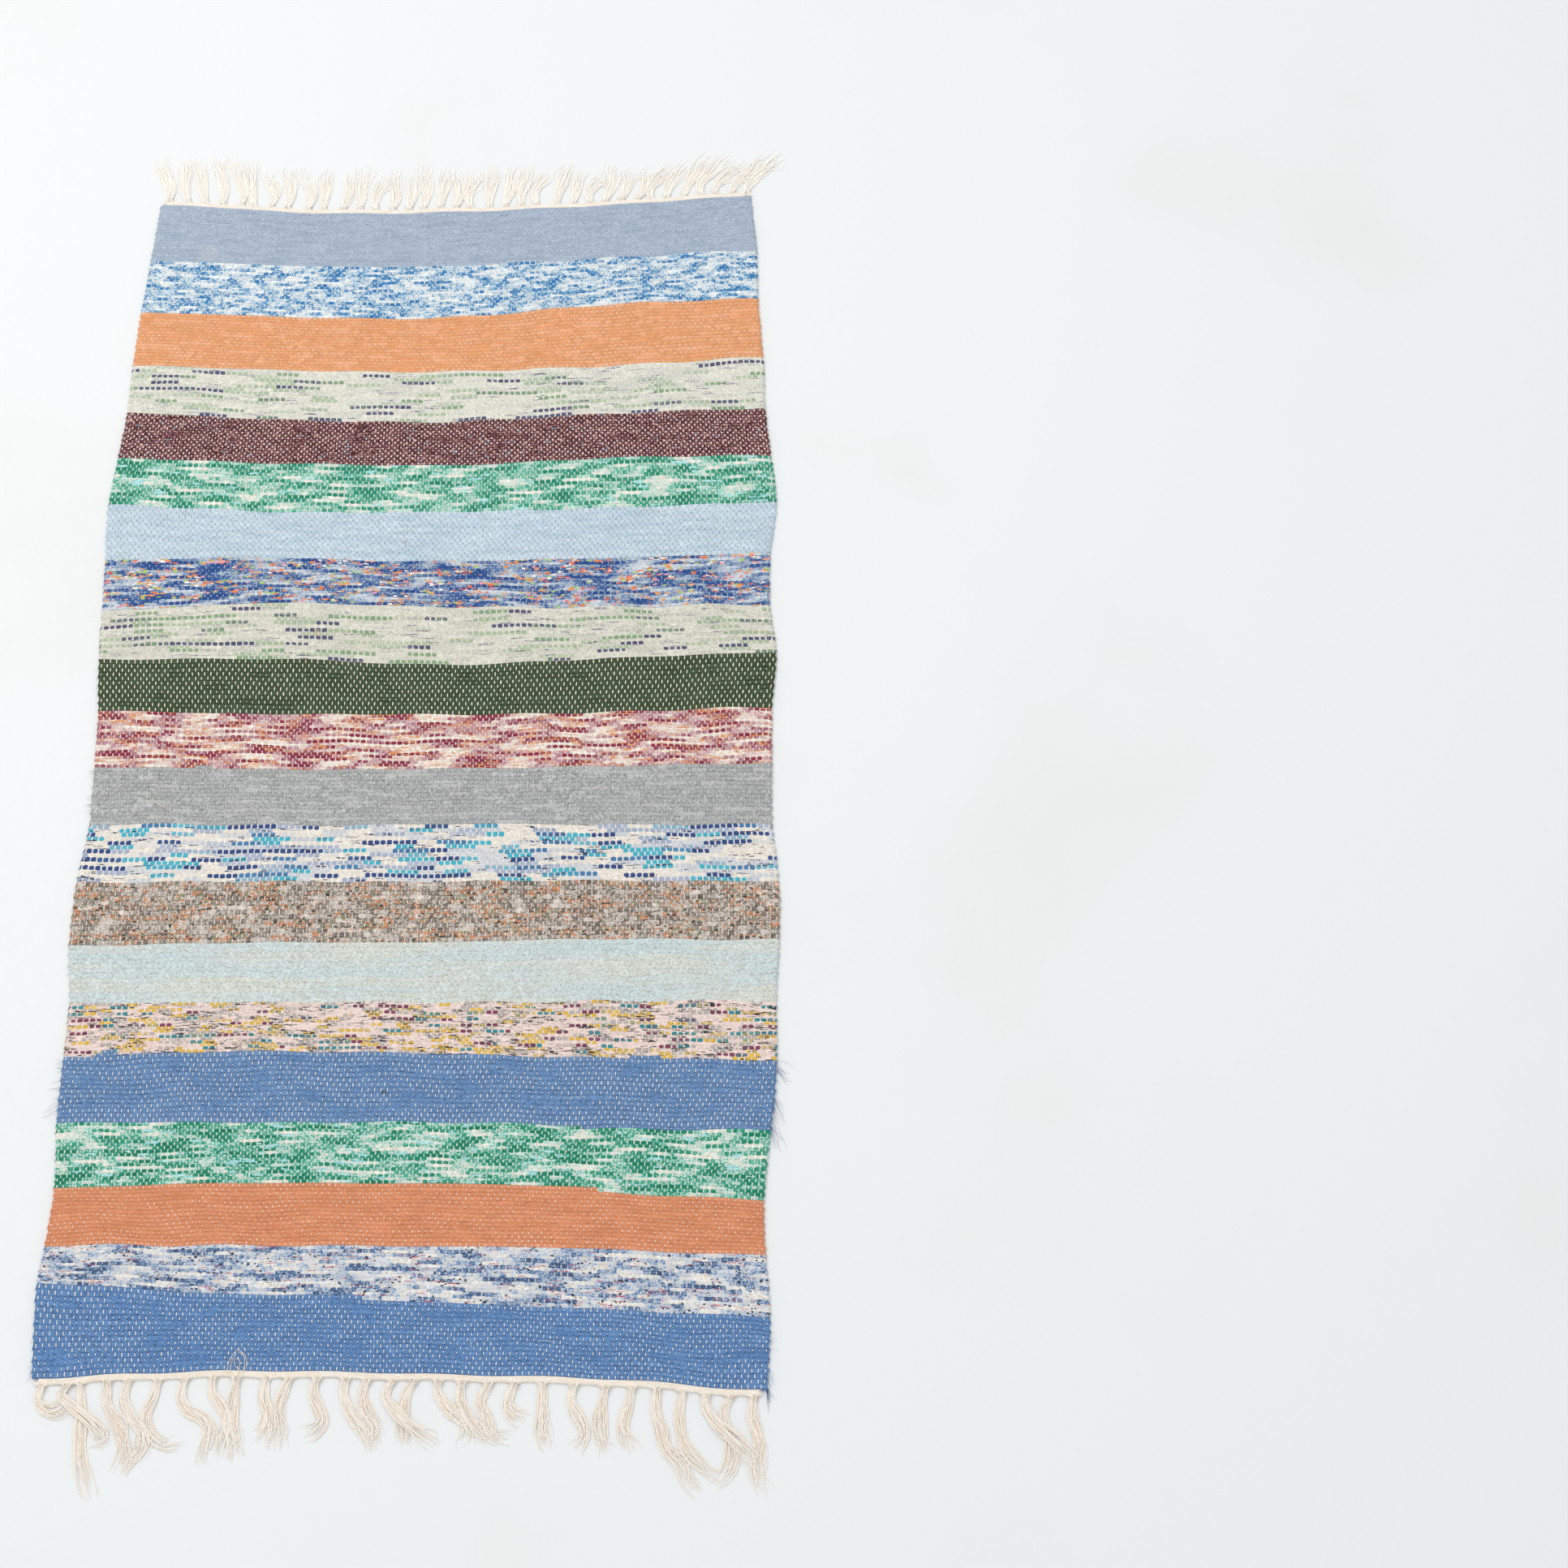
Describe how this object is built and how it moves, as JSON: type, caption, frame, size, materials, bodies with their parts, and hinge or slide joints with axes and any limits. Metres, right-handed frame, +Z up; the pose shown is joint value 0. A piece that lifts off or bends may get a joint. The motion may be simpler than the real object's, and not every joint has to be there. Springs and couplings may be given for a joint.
{
  "type": "rag rug",
  "caption": "Long flat woven rag rug in bands of colour, with a cotton heading and knotted tassels along both ends.",
  "frame": {"origin": "middle of the woven ground's underside, which lies on the floor", "axes": "+Y along the rug towards its far end, +X across it to the right, +Z up out of the floor"},
  "size_m": [0.7352, 1.6048, 0.0048],
  "materials": {
    "rag_weave": "weft-faced plain weave of soft rag yarn in bands of colour, matt",
    "warp_cotton": "undyed cotton yarn, matt and slightly fuzzy"
  },
  "bodies": {
    "root": {"woven_ground": "rag_weave", "far_heading_fringe": "warp_cotton", "near_heading_fringe": "warp_cotton"}
  },
  "joints": []
}
